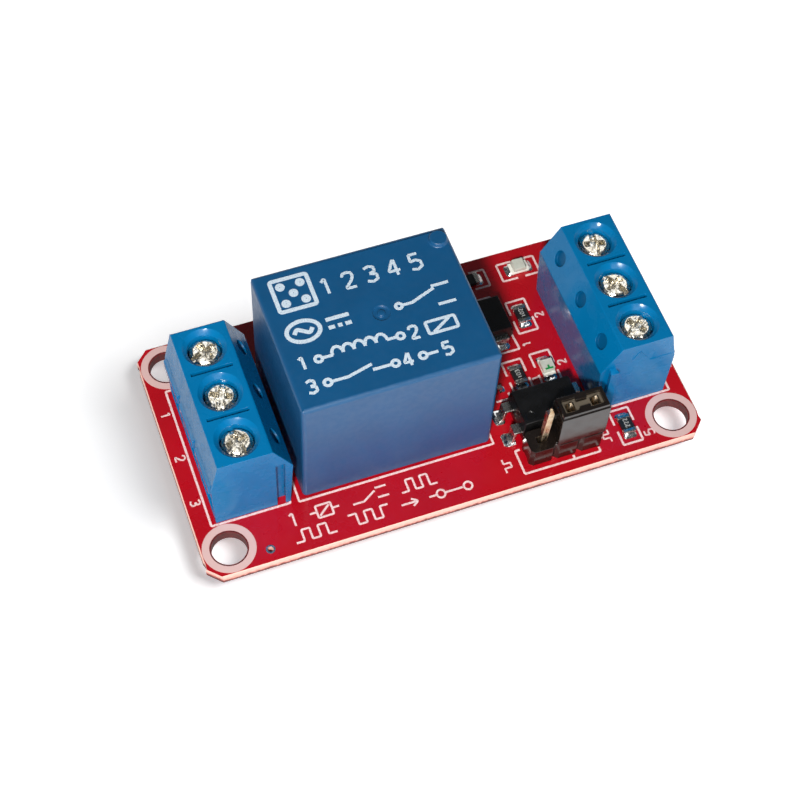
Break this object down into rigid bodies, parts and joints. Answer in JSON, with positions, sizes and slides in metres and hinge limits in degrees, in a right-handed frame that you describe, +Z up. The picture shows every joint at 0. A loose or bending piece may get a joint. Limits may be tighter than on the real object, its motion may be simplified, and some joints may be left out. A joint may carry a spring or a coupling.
{
  "type": "relay module board",
  "caption": "Circuit board with a sealed changeover relay between two screw terminal blocks, with pull-up jumper, driver parts and corner mounting holes.",
  "frame": {"origin": "centre of the four mounting holes, on the board's underside", "axes": "+X along the board from the load terminals to the control terminals, +Y to the edge away from the jumper, +Z up out of the component side"},
  "size_m": [0.0506, 0.0264, 0.0185],
  "materials": {
    "solder_mask": "glass-fibre laminate under glossy crimson solder mask",
    "solder": "bright tin solder",
    "relay_blue": "fine matt dark blue nylon",
    "relay_base_blue": "dark blue sealing resin over the base",
    "bobbin_plastic": "cream bobbin plastic",
    "copper_winding": "enamelled copper wire",
    "soft_iron": "nickel-flashed soft iron",
    "spring_copper": "rolled copper alloy leaf",
    "contact_silver": "silver alloy contact rivet",
    "contact_brass": "brass strap with tinned pin",
    "terminal_blue": "satin bright blue nylon",
    "zinc_steel": "bright zinc-plated steel",
    "tinned_metal": "bright tin plate",
    "gold_flash": "square brass pin with a gold flash",
    "black_plastic": "glossy black moulding",
    "chip_black": "matt black epoxy moulding",
    "resistor_glaze": "black glaze on white ceramic with tinned ends",
    "led_carrier": "white carrier with plated ends",
    "led_resin": "water-clear resin"
  },
  "bodies": {
    "module": {"board": "solder_mask", "through_hole_solder": "solder", "surface_solder": "solder", "relay_case": "relay_blue", "relay_base": "relay_base_blue", "relay_bobbin": "bobbin_plastic", "relay_winding": "copper_winding", "relay_core": "soft_iron", "relay_yoke": "soft_iron", "relay_normally_closed_contact": "contact_brass", "relay_normally_open_contact": "contact_brass", "relay_common_pin": "contact_brass", "relay_coil_pin_front": "tinned_metal", "relay_coil_pin_back": "tinned_metal", "load_terminal_housing": "terminal_blue", "load_contact_1": "tinned_metal", "load_contact_2": "tinned_metal", "load_contact_3": "tinned_metal", "control_terminal_housing": "terminal_blue", "control_contact_1": "tinned_metal", "control_contact_2": "tinned_metal", "control_contact_3": "tinned_metal", "header_strip": "black_plastic", "header_pin_1": "gold_flash", "header_pin_2": "gold_flash", "header_pin_3": "gold_flash", "optocoupler_body": "chip_black", "optocoupler_leads": "tinned_metal", "diode_body": "chip_black", "diode_leads": "tinned_metal", "transistor_body": "chip_black", "transistor_leads": "tinned_metal", "resistor_1": "resistor_glaze", "resistor_2": "resistor_glaze", "resistor_3": "resistor_glaze", "resistor_4": "resistor_glaze", "led_1_base": "led_carrier", "led_1_lens": "led_resin", "led_2_base": "led_carrier", "led_2_lens": "led_resin"},
    "load_screw_1": {"load_screw_1": "zinc_steel"},
    "load_clamp_1": {"load_clamp_1": "zinc_steel"},
    "load_screw_2": {"load_screw_2": "zinc_steel"},
    "load_clamp_2": {"load_clamp_2": "zinc_steel"},
    "load_screw_3": {"load_screw_3": "zinc_steel"},
    "load_clamp_3": {"load_clamp_3": "zinc_steel"},
    "control_screw_1": {"control_screw_1": "zinc_steel"},
    "control_clamp_1": {"control_clamp_1": "zinc_steel"},
    "control_screw_2": {"control_screw_2": "zinc_steel"},
    "control_clamp_2": {"control_clamp_2": "zinc_steel"},
    "control_screw_3": {"control_screw_3": "zinc_steel"},
    "control_clamp_3": {"control_clamp_3": "zinc_steel"},
    "armature": {"relay_armature": "soft_iron", "relay_contact_blade": "spring_copper", "relay_moving_contact": "contact_silver"},
    "jumper": {"jumper_cap_shell": "black_plastic", "jumper_cap_clip": "tinned_metal"}
  },
  "joints": [
    {"name": "load_screw_1_turn", "type": "hinge", "parent": "module", "child": "load_screw_1", "pos_m": [-0.01975, -0.00508, 0.0103], "axis": [0, 0, -1], "range_deg": [0, 1842]},
    {"name": "load_clamp_1_rise", "type": "slide", "parent": "module", "child": "load_clamp_1", "axis": [0, 0, 1], "range_m": [0, 0.0023]},
    {"name": "load_screw_2_turn", "type": "hinge", "parent": "module", "child": "load_screw_2", "pos_m": [-0.01975, 0, 0.0103], "axis": [0, 0, -1], "range_deg": [0, 1842]},
    {"name": "load_clamp_2_rise", "type": "slide", "parent": "module", "child": "load_clamp_2", "axis": [0, 0, 1], "range_m": [0, 0.0023]},
    {"name": "load_screw_3_turn", "type": "hinge", "parent": "module", "child": "load_screw_3", "pos_m": [-0.01975, 0.00508, 0.0103], "axis": [0, 0, -1], "range_deg": [0, 1842]},
    {"name": "load_clamp_3_rise", "type": "slide", "parent": "module", "child": "load_clamp_3", "axis": [0, 0, 1], "range_m": [0, 0.0023]},
    {"name": "control_screw_1_turn", "type": "hinge", "parent": "module", "child": "control_screw_1", "pos_m": [0.01975, -0.00508, 0.0103], "axis": [0, 0, -1], "range_deg": [0, 1842]},
    {"name": "control_clamp_1_rise", "type": "slide", "parent": "module", "child": "control_clamp_1", "axis": [0, 0, 1], "range_m": [0, 0.0023]},
    {"name": "control_screw_2_turn", "type": "hinge", "parent": "module", "child": "control_screw_2", "pos_m": [0.01975, 0, 0.0103], "axis": [0, 0, -1], "range_deg": [0, 1842]},
    {"name": "control_clamp_2_rise", "type": "slide", "parent": "module", "child": "control_clamp_2", "axis": [0, 0, 1], "range_m": [0, 0.0023]},
    {"name": "control_screw_3_turn", "type": "hinge", "parent": "module", "child": "control_screw_3", "pos_m": [0.01975, 0.00508, 0.0103], "axis": [0, 0, -1], "range_deg": [0, 1842]},
    {"name": "control_clamp_3_rise", "type": "slide", "parent": "module", "child": "control_clamp_3", "axis": [0, 0, 1], "range_m": [0, 0.0023]},
    {"name": "armature_pull_in", "type": "hinge", "parent": "module", "child": "armature", "pos_m": [0.002, 0, 0.01266], "axis": [0, -1, 0], "range_deg": [0, 2.1], "stiffness_Nm_per_rad": 0.02, "springref_deg": -2.86},
    {"name": "jumper_pull_off", "type": "slide", "parent": "module", "child": "jumper", "axis": [0, 0, 1], "range_m": [0, 0.0055]}
  ],
  "couplings": [
    {"joint": "load_screw_1_turn", "follows": "load_clamp_1_rise", "rad_per_m": 13963},
    {"joint": "load_screw_2_turn", "follows": "load_clamp_2_rise", "rad_per_m": 13963},
    {"joint": "load_screw_3_turn", "follows": "load_clamp_3_rise", "rad_per_m": 13963},
    {"joint": "control_screw_1_turn", "follows": "control_clamp_1_rise", "rad_per_m": 13963},
    {"joint": "control_screw_2_turn", "follows": "control_clamp_2_rise", "rad_per_m": 13963},
    {"joint": "control_screw_3_turn", "follows": "control_clamp_3_rise", "rad_per_m": 13963}
  ]
}
